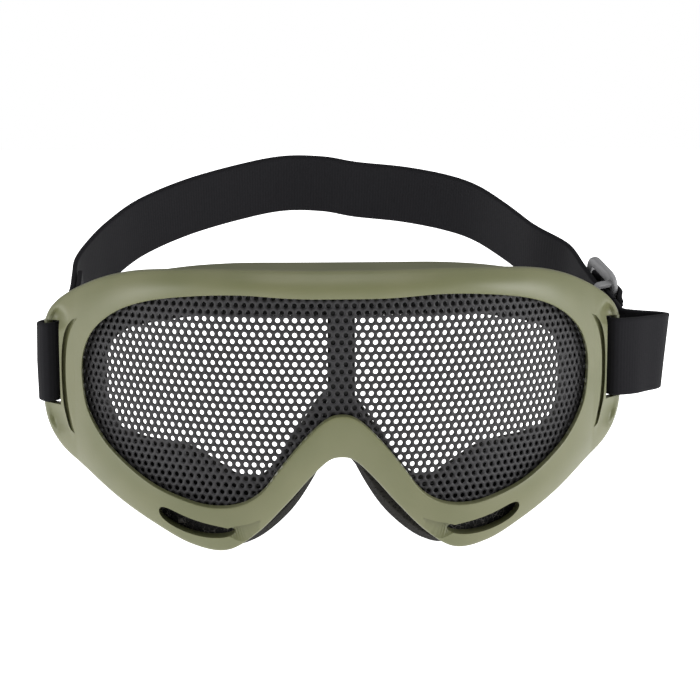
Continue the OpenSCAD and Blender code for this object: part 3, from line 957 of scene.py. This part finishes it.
def lens_retainer():
    """The ring behind the sheet, and the post between the eyes, which spreads where it meets the ring."""
    sections = []
    for r in RINGS:
        a = toward(r.open, r.edge, -RETAINER_LIP)
        b = toward(r.open, r.edge, LENS_LAP)
        corners = [behind_lens(p, y) for p, y in ((a, 0), (b, 0), (b, RETAINER_T), (a, RETAINER_T))]
        sections.append(rounded(corners, [0.3, 0.2, 0.2, 0.7], 3))
    bm = ring_of(sections)
    foot, top = STATIONS[-1][0][1] - LENS_LAP / 2, STATIONS[0][0][1] + LENS_LAP / 2
    front = LENS_T + 1.5 * FIT_GAP
    post = block((-POST_W / 2, front, foot), (POST_W / 2, front + POST_D, top))
    upright = [e for e in post.edges if abs(e.verts[0].co.z - e.verts[1].co.z) > 1]
    bmesh.ops.subdivide_edges(post, edges=upright, cuts=POST_CUTS)
    for v in post.verts:
        near = min(v.co.z - foot, top - v.co.z)
        v.co.x *= 1 + POST_SPREAD * max(0, 1 - near / POST_SPREAD_H) ** 2
    sharp = [e for e in post.edges if e.is_boundary or e.calc_face_angle(0) > 1]
    bmesh.ops.bevel(post, geom=sharp, offset=0.5, segments=3, profile=0.5, affect="EDGES", material=-1)
    cut(bm, post, "UNION")
    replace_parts(finished("retainer_ring", bm, BLACK, "goggles"), "lens_retainer")


def up_share(p):
    """0 at the foot of the front and below it, 1 from the ears' height up."""
    return min(1, max(0, p.y / EAR_Z))


def nose_side(p, reach):
    """1 at the nose side of a lobe, and 0 further from it than reach."""
    return max(0, 1 - ((abs(p.x) - NOSE_PAD_X) / reach) ** 2) * (1 - up_share(p))


def foam_step(p):
    """How far in from the wall the foam starts. Below the ears it stands out past the wall."""
    t = up_share(p)
    return FOAM_INSET * t - FOAM_OVERHANG * (1 - t) - NOSE_PAD * nose_side(p, NOSE_PAD_REACH)


def nose_flare(p):
    """How much further out the foam's back stands beside the nose. It fades out sooner along the lobe."""
    if abs(p.x) < NOSE_PAD_X:
        return NOSE_FLARE * nose_side(p, ARCH_REACH)
    return NOSE_FLARE * nose_side(p, LOBE_REACH) ** 2


def face_foam():
    """The cushion on the flange: a little waisted at its foot, with soft shoulders at its back."""
    foot = FILM_T + 2 * FIT_GAP
    waist = foot + 0.45 * FOAM_T
    shoulder = foot + 0.93 * FOAM_T
    back = foot + FOAM_T
    radii = [0.7, 2, 2.6, 3, 3, 2.6, 2, 0.7]
    sections = []
    for r in RINGS:
        outer, inner = foam_step(r.edge), r.seat_w
        third = (inner - outer) / 3
        flare = nose_flare(r.edge)
        corners = [
            (outer + 0.4, foot), (outer - 0.1 - flare, waist), (outer + 0.5 - flare, shoulder),
            (outer + third - flare, back), (inner - third, back), (inner - 0.5, shoulder),
            (inner + 0.1, waist), (inner - 0.4, foot),
        ]
        sections.append(rounded([r.seat(*c) for c in corners], radii))
    foam = finished("face_cushion", ring_of(sections), FACE_FOAM, "goggles")
    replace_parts(foam, "face_foam")


def climb(y):
    """How far the strap has risen at a place behind the frame."""
    slope = math.tan(STRAP_RISE)
    if y < RISE_START:
        return 0
    if y < RISE_END:
        return slope * (y - RISE_START) ** 2 / (2 * (RISE_END - RISE_START))
    return slope * (y - RISE_Y)


def lean(y):
    """The strap's slope there, as an angle."""
    share = min(1, max(0, (y - RISE_START) / (RISE_END - RISE_START)))
    return math.atan(math.tan(STRAP_RISE) * share)


def plan(p):
    """A point of the raised strap's plane, seen from above."""
    return Vector((p.x, RISE_Y + p.y * math.cos(STRAP_RISE)))


def beside_slider(along, out):
    return plan(SLIDER_AT + along * SLIDE_DIR + out * SLIDE_OUT)


def strap_route():
    """The strap's centreline in plan, from the sewn end at the left ear to the free end at the slider."""
    loop_y = BAR_Y - BAR_R - STRAP_T / 2 - LOOP_FRONT
    turn_y = BAR_Y - LOOP_TURN
    left = [
        (-IN_X + 3.5, 84), (-IN_X + 3.5, 76), (-IN_X + 1.8, 66), (-IN_X, 55), (-IN_X, BAR_Y),
        (-IN_X - 0.8, turn_y), (-BAR_X, loop_y), (-OUT_X + 0.8, turn_y), (-OUT_X, BAR_Y),
        (-OUT_X + 1.3, 51.5), (-IN_X - 2.9, 58.5), (-IN_X + 0.3, 68), (SEAM_X, 76), (SEAM_X, 83),
    ]
    back = [
        (-86.6, 90), (-83.4, 98), (-77.6, 107.6), (-67.5, 119), (-51, 129.6), (-31, 138), (-15, 142.4),
        (0, 142), (12, 138.9), (30, 136), (46, 131.3), (57, 125.5), (67, 115.5), (76, 104.2),
    ]
    right = [
        beside_slider(-SLIDE_TRAVEL - SLIDER_L / 2, 0), beside_slider(-SLIDER_L / 2, 0), beside_slider(0, 0),
        beside_slider(SLIDER_L / 2 + 0.5, 0), (93.4, 67.5), (91.8, 61.5), (IN_X + 0.8, 54), (IN_X, BAR_Y),
        (IN_X + 0.8, turn_y), (BAR_X, loop_y), (BAR_X + 5.9, loop_y + 2), (BAR_X + 12, loop_y + 6.2),
        (BAR_X + 17.5, loop_y + 10.6), (BAR_X + 19.4, loop_y + 14.6), (BAR_X + 16.8, loop_y + 18.2),
        (BAR_X + 10.2, loop_y + 20.6), (BAR_X + 5.4, loop_y + 22.7), beside_slider(FREE_END + 3, LAYER_STEP),
        beside_slider(FREE_END, LAYER_STEP),
    ]
    return drawn_line((*left, *back, *right), 8)


def strap_section():
    """The strap's section: flat faces, round selvedges that stand a little proud."""
    w, t = STRAP_W / 2, STRAP_T / 2
    half = [(-w + 1.4, t), (-w + 1.0, t + 0.04), (-w + 0.35, t), (-w + 0.06, 0.5 * t), (-w + 0.06, -0.5 * t),
            (-w + 0.35, -t), (-w + 1.0, -t - 0.04), (-w + 1.4, -t)]
    return half + [(0, -t)] + [(-a, -b) for a, b in half] + [(0, t)]


def keeper_section():
    """The keeper bar's section with rounded corners."""
    w, t = SLIDER_BAR_W / 2, KEEPER_T / 2
    corners = [Vector(c) for c in ((-w, t), (-w, -t), (w, -t), (w, t))]
    return [tuple(p) for p in rounded(corners, [0.4] * 4)]


def strip(name, points, across, section, material, body, smooth=60, shape=None):
    """A flat band along points, each with the direction across the band. shape(step, a) is for a point at a
    distance a from the band's middle. It gives how much the band is spread there, how far it is crowned, and
    how far it is pushed sideways."""
    n = len(points)
    run = [0]
    for a, b in zip(points, points[1:]):
        run.append(run[-1] + (b - a).length)

    def place(step, side):
        along = points[min(step + 1, n - 1)] - points[max(step - 1, 0)]
        w = across[step]
        out = along.cross(w).normalized()
        a, b = section[side]
        spread, crown, aside = shape(step, a) if shape else (1, 0, 0)
        return points[step] + w * a * spread + out * (b + crown) + Vector((aside, 0, 0))

    bm = bmesh.new()
    side_of, step_of = grow(bm, len(section), n, place, False)
    uv = bm.loops.layers.uv.new("strip")
    for face in bm.faces:
        for loop in face.loops:
            loop[uv].uv = (run[loop.vert[step_of]], section[loop.vert[side_of]][0])
    return finished(name, bm, material, body, smooth)


def webbing():
    """The elastic strap, which rises behind the frame."""
    line = strap_route()
    points = [Vector((p.x, p.y, EAR_Z + climb(p.y))) for p in line]
    across = [Vector((0, -math.sin(lean(p.y)), math.cos(lean(p.y)))) for p in line]

    def shape(step, a):
        """The strap is spread and crowned in the ears, and leans in at its loop and before the slider."""
        p = points[step]
        in_ear = 1 - smooth_step(*IN_EAR, p.y)
        loop = smooth_step(BAR_X + FREE_LOOP[0], BAR_X + FREE_LOOP[1], p.x)
        low = 0.5 - a / STRAP_W
        crown = LOOP_CROWN * in_ear * (1 - loop) * (1 - (2 * a / STRAP_W) ** 2)
        before_slider = smooth_step(*TWIST_X, p.x) * smooth_step(*TWIST_Y, p.y)
        aside = -LOOP_LEAN * loop * low - TWIST * before_slider * (1 - low)
        return 1 + (LOOP_SPREAD - 1) * in_ear, crown, aside

    strap = strip("elastic_strap", points, across, strap_section(), WEBBING, "strap", shape=shape)
    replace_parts(strap, "strap_webbing")


def strap_plane(at, angle):
    """Brings a piece into the raised strap's plane. It is drawn flat, x along the strap and y outwards."""
    up = Matrix.Translation((0, RISE_Y, EAR_Z)) @ Matrix.Rotation(STRAP_RISE, 4, "X")
    return up @ Matrix.Translation((at[0], at[1], 0)) @ Matrix.Rotation(angle, 4, "Z")


AT_SLIDER = strap_plane(SLIDER_AT, SLIDE_ANGLE)


def round_box(half_w, half_h, radius, steps=8):
    """Points round a box in x and z with rounded corners."""
    points = []
    for corner, (sx, sz) in enumerate(((1, 1), (-1, 1), (-1, -1), (1, -1))):
        for k in range(steps + 1):
            a = math.pi / 2 * (corner + k / steps)
            x = sx * (half_w - radius) + radius * math.cos(a)
            z = sz * (half_h - radius) + radius * math.sin(a)
            points.append(Vector((x, z)))
    return points


def slider():
    """A plate with one long slot, and a keeper bar that passes behind the strap."""
    pivot = Matrix.Translation((END_BAR_X, FOLD_Y, 0))
    tilted = AT_SLIDER @ pivot @ Matrix.Rotation(SLIDER_TILT, 4, "Z") @ Matrix.Translation((-END_BAR_X, 0, 0))
    outer = round_box(SLIDER_L / 2, SLIDER_H / 2, CORNER_R)
    inner = round_box(SLIDER_L / 2 - SLIDER_BAR_W, SLOT_H / 2, SLOT_R)
    t = SLIDER_T / 2
    sections = []
    for a, b in zip(outer, inner):
        corners = [Vector((p.x, y, p.y)) for p, y in ((a, t), (b, t), (b, -t), (a, -t))]
        sections.append([tilted @ p for p in rounded(corners, [0.8, 0.6, 0.6, 0.8], 5)])
    bm = ring_of(sections)
    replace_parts(finished("slider_plate", bm, GREY, "adjuster"), "slider")

    reach = SLOT_H / 2 + POST_GAP + KEEPER_T / 2
    back = KEEPER_Y - KEEPER_T / 2
    top = FOLD_Y - KEEPER_TOP
    corners = [Vector((top, reach)), Vector((back, reach)), Vector((back, -reach)), Vector((top, -reach))]
    route = rounded(corners, [0, KEEPER_R, KEEPER_R, 0], 6)
    points = [AT_SLIDER @ Vector((KEEPER_X, y, z)) for y, z in route]
    across = [AT_SLIDER.to_3x3() @ Vector((1, 0, 0))] * len(points)
    strip("slider_keeper", points, across, keeper_section(), GREY, "adjuster", 35)


def slider_webbing(name, route, steps):
    """Webbing at the slider, drawn from its edge: x along the strap and y outwards."""
    points = [AT_SLIDER @ Vector((x, y, 0)) for x, y in drawn_line(route, steps)]
    across = [AT_SLIDER.to_3x3() @ Vector((0, 0, 1))] * len(points)
    return strip(name, points, across, strap_section(), WEBBING, "adjuster")


def strap_fold():
    """The sewn end of the strap, folded round the slider's bar."""
    turn = [(FOLD_X + FOLD_R * math.cos(math.radians(a)), FOLD_Y + FOLD_R * math.sin(math.radians(a)))
            for a in range(90, 271, 15)]
    route = [(SLIDER_L / 2 + FOLD_LEG, 2 * LAYER_STEP), (SLIDER_L / 2 + FOLD_LEG / 2, FOLD_OUT),
             (SLIDER_L / 2, FOLD_Y + FOLD_R), *turn, (SLIDER_L / 2 + INNER_LEG, LAYER_STEP)]
    fold = slider_webbing("folded_end", route, 2)
    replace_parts(fold, "strap_fold")


def strap_hump():
    """The webbing that is pushed up into the slider's slot."""
    slider_webbing("strap_hump", HUMP, 3)


def stitches(name, place, length, cross, body, node):
    """Stitches round a box of the strap and, where it is long enough, across it both ways."""
    w = TACK_W / 2
    ends = [Vector(c) for c in ((0, -w), (length, -w), (length, w), (0, w))]
    lines = list(zip(ends, ends[1:] + ends[:1]))
    if cross:
        lines += [(ends[0], ends[2]), (ends[1], ends[3])]
    bm = bmesh.new()
    for a, b in lines:
        count = max(1, round((b - a).length / STITCH_L))
        step = (b - a) / count
        angle = math.atan2(step.y, step.x)
        for k in range(count):
            middle = a + step * (k + 0.5)
            new = bmesh.ops.create_icosphere(bm, subdivisions=1, radius=1)["verts"]
            shape = Matrix.Diagonal((STITCH_SHARE * step.length, THREAD_R, THREAD_R, 1))
            turned = Matrix.Rotation(-angle, 4, "Y") @ shape
            at = Matrix.Translation((middle.x, STRAP_T / 2 + THREAD_R, middle.y))
            bmesh.ops.transform(bm, matrix=place @ at @ turned, verts=new)
    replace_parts(finished(name, bm, THREAD, body, 80), node)


def seams():
    """The box of stitches at the strap's left end, and the smaller one on the fold at the slider."""
    left = strap_plane((SEAM_X, (SEAM_START - RISE_Y) / math.cos(STRAP_RISE)), math.pi / 2)
    stitches("left_seam", left, TACK_L, True, "strap", "left_bartack")
    on_fold = Matrix.Translation((SLIDER_L / 2 + FOLD_LEG / 2, FOLD_OUT, 0))
    fold = AT_SLIDER @ (on_fold @ Matrix.Rotation(FOLD_TACK_TURN, 4, "Z"))
    stitches("fold_seam", fold, FOLD_TACK_L, False, "adjuster", "fold_bartack")


def adhesive_ring():
    """The film that holds the foam to the flange."""
    sections = []
    for r in RINGS:
        outer, inner = FILM_MARGIN, r.seat_w - RIM_INSET - FILM_MARGIN
        corners = [(inner, 0), (outer, 0), (outer, FILM_T), (inner, FILM_T)]
        sections.append([r.seat(across, FIT_GAP + y) for across, y in corners])
    bm = ring_of(sections)
    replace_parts(finished("adhesive_ring", bm, FILM, "goggles"), "foam_adhesive")


def vent_filters():
    """A foam pad behind each vent, which fits beside the wall."""
    beside_wall = [toward(r.root, r.open, WALL_T + RUN_GAP) for r in RINGS]
    leaf = vent_outline(VENT_L + FILTER_LAP_L, VENT_H + FILTER_LAP_H)
    outline = [p if inside(p, beside_wall) else nearest(p, beside_wall) for p in leaf]
    middle = sum(outline, Vector((0, 0))) / len(outline)
    front = REBATE_Y + FIT_GAP
    back = front + FILTER_T
    # Each row's share of the way from the middle to the outline, and its depth
    rows = [
        (0.3, front), (0.6, front), (0.85, front), (0.95, front + 0.1), (1, front + 0.7),
        (1, (front + back) / 2), (1, back - 0.7), (0.95, back - 0.1), (0.85, back), (0.6, back), (0.3, back),
    ]

    def place(step, side):
        share, y = rows[step]
        return on_front(middle.lerp(outline[side], share), y)

    pads = (("vent_foam_left", "vent_filter_left", True), ("vent_foam_right", "vent_filter_right", False))
    for name, node, flip in pads:
        bm = bmesh.new()
        grow(bm, len(outline), len(rows), place, False)
        pad = finished(name, mirrored(bm) if flip else bm, FILTER_FOAM, "goggles")
        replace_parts(pad, node)


def camera():
    """The photograph's view."""
    data = bpy.data.cameras.new("camera")
    data.lens = CAMERA_LENS
    data.sensor_width = CAMERA_SENSOR
    data.clip_end = 10
    eye = placed("camera", data)
    across = CAMERA_RIGHT * math.cos(CAMERA_ROLL) - CAMERA_UP * math.sin(CAMERA_ROLL)
    upright = CAMERA_RIGHT * math.sin(CAMERA_ROLL) + CAMERA_UP * math.cos(CAMERA_ROLL)
    turn = Matrix((across, upright, -CAMERA_AHEAD)).transposed().to_4x4()
    eye.matrix_world = Matrix.Translation(CAMERA_AT * MM) @ turn
    bpy.context.scene.camera = eye


def area_light(name, at, aim, size, power):
    data = bpy.data.lights.new(name, "AREA")
    data.shape = "RECTANGLE"
    data.size, data.size_y = size
    data.energy = power
    lamp = placed(name, data)
    lamp.location = at
    lamp.rotation_euler = (Vector(aim) - Vector(at)).to_track_quat("-Z", "Y").to_euler()


def white_surround():
    """White on every side, dimmer as a light in front of the goggles and behind them."""
    world = bpy.data.worlds.new("white_surround")
    world.use_nodes = True
    tree = world.node_tree
    kinds = ("TexCoord", "SeparateXYZ", "Math", "MapRange", "LightPath", "Math")
    direction, parts, away, dimmed, seen, strength = (tree.nodes.new("ShaderNode" + kind) for kind in kinds)
    away.operation = "ABSOLUTE"
    strength.operation = "MAXIMUM"
    dimmed.inputs["To Min"].default_value = 1
    dimmed.inputs["To Max"].default_value = END_GLOW
    tree.links.new(direction.outputs["Generated"], parts.inputs[0])
    tree.links.new(parts.outputs["Y"], away.inputs[0])
    tree.links.new(away.outputs[0], dimmed.inputs["Value"])
    tree.links.new(dimmed.outputs[0], strength.inputs[0])
    tree.links.new(seen.outputs["Is Camera Ray"], strength.inputs[1])
    background = tree.nodes["Background"]
    background.inputs["Color"].default_value = (1, 1, 1, 1)
    tree.links.new(strength.outputs[0], background.inputs["Strength"])
    return world


def studio():
    """A pale floor under the goggles and soft light all round."""
    low = cad_box[0][2]
    bm = bmesh.new()
    bmesh.ops.create_grid(bm, x_segments=1, y_segments=1, size=FLOOR_HALF)
    bmesh.ops.translate(bm, vec=(0, 0, low - FLOOR_DROP), verts=bm.verts)
    mesh = mesh_from("floor", bm)
    mesh.materials.append(pale_floor())
    floor = placed("floor", mesh)
    for lamp in LAMPS:
        area_light(*lamp)
    bpy.context.scene.world = white_surround()
    bpy.context.scene.view_settings.view_transform = "Standard"


camera()
frame_shell()
ear_bars()
mesh_lens()
lens_retainer()
face_foam()
adhesive_ring()
vent_filters()
webbing()
slider()
strap_fold()
strap_hump()
seams()
studio()
